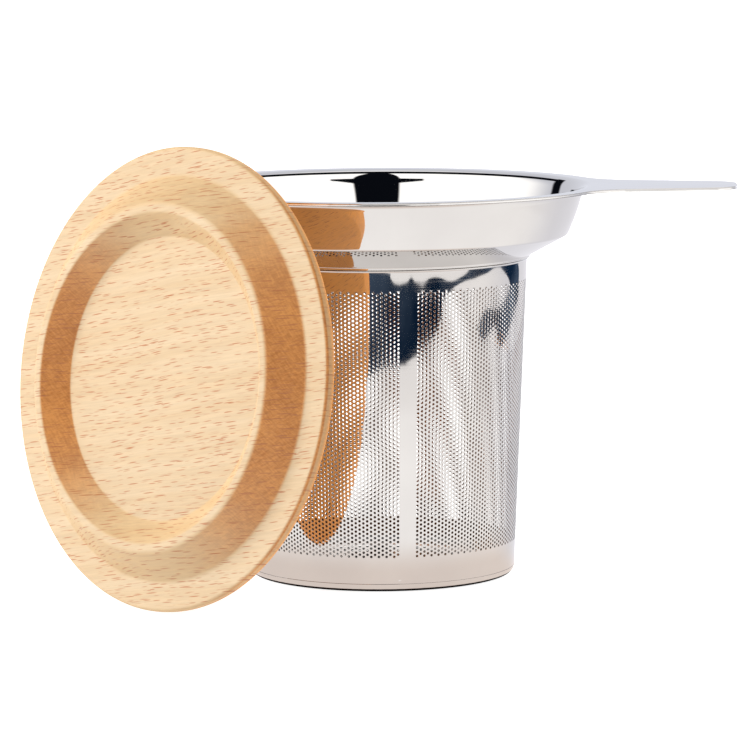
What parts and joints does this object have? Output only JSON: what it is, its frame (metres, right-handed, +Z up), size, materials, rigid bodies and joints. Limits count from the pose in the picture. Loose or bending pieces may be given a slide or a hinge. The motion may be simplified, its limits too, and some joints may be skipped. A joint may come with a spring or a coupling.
{
  "type": "tea_strainer",
  "caption": "Stainless steel tea strainer with a wide rim, flat handle and tapered perforated basket, and a turned wooden lid leaning against it",
  "frame": {"origin": "centre of the base's underside, on the strainer's axis", "axes": "+X along the handle, +Z up along the strainer's axis, the lid stands on the -X -Y side"},
  "size_m": [0.154, 0.1297, 0.0957],
  "materials": {
    "steel": "mirror polished stainless steel",
    "beech": "plain sanded beech with a light oil"
  },
  "bodies": {
    "strainer": {"collar": "steel", "basket_wall": "steel", "base_disc": "steel"},
    "lid_body": {"lid": "beech"}
  },
  "joints": [
    {"name": "lid_swing", "type": "hinge", "parent": "strainer", "child": "lid_body", "pos_m": [-0.03378, -0.03371, 0.09386], "axis": [-0.7371, 0.6754, -0.0228], "range_deg": [0, 261.9]}
  ]
}
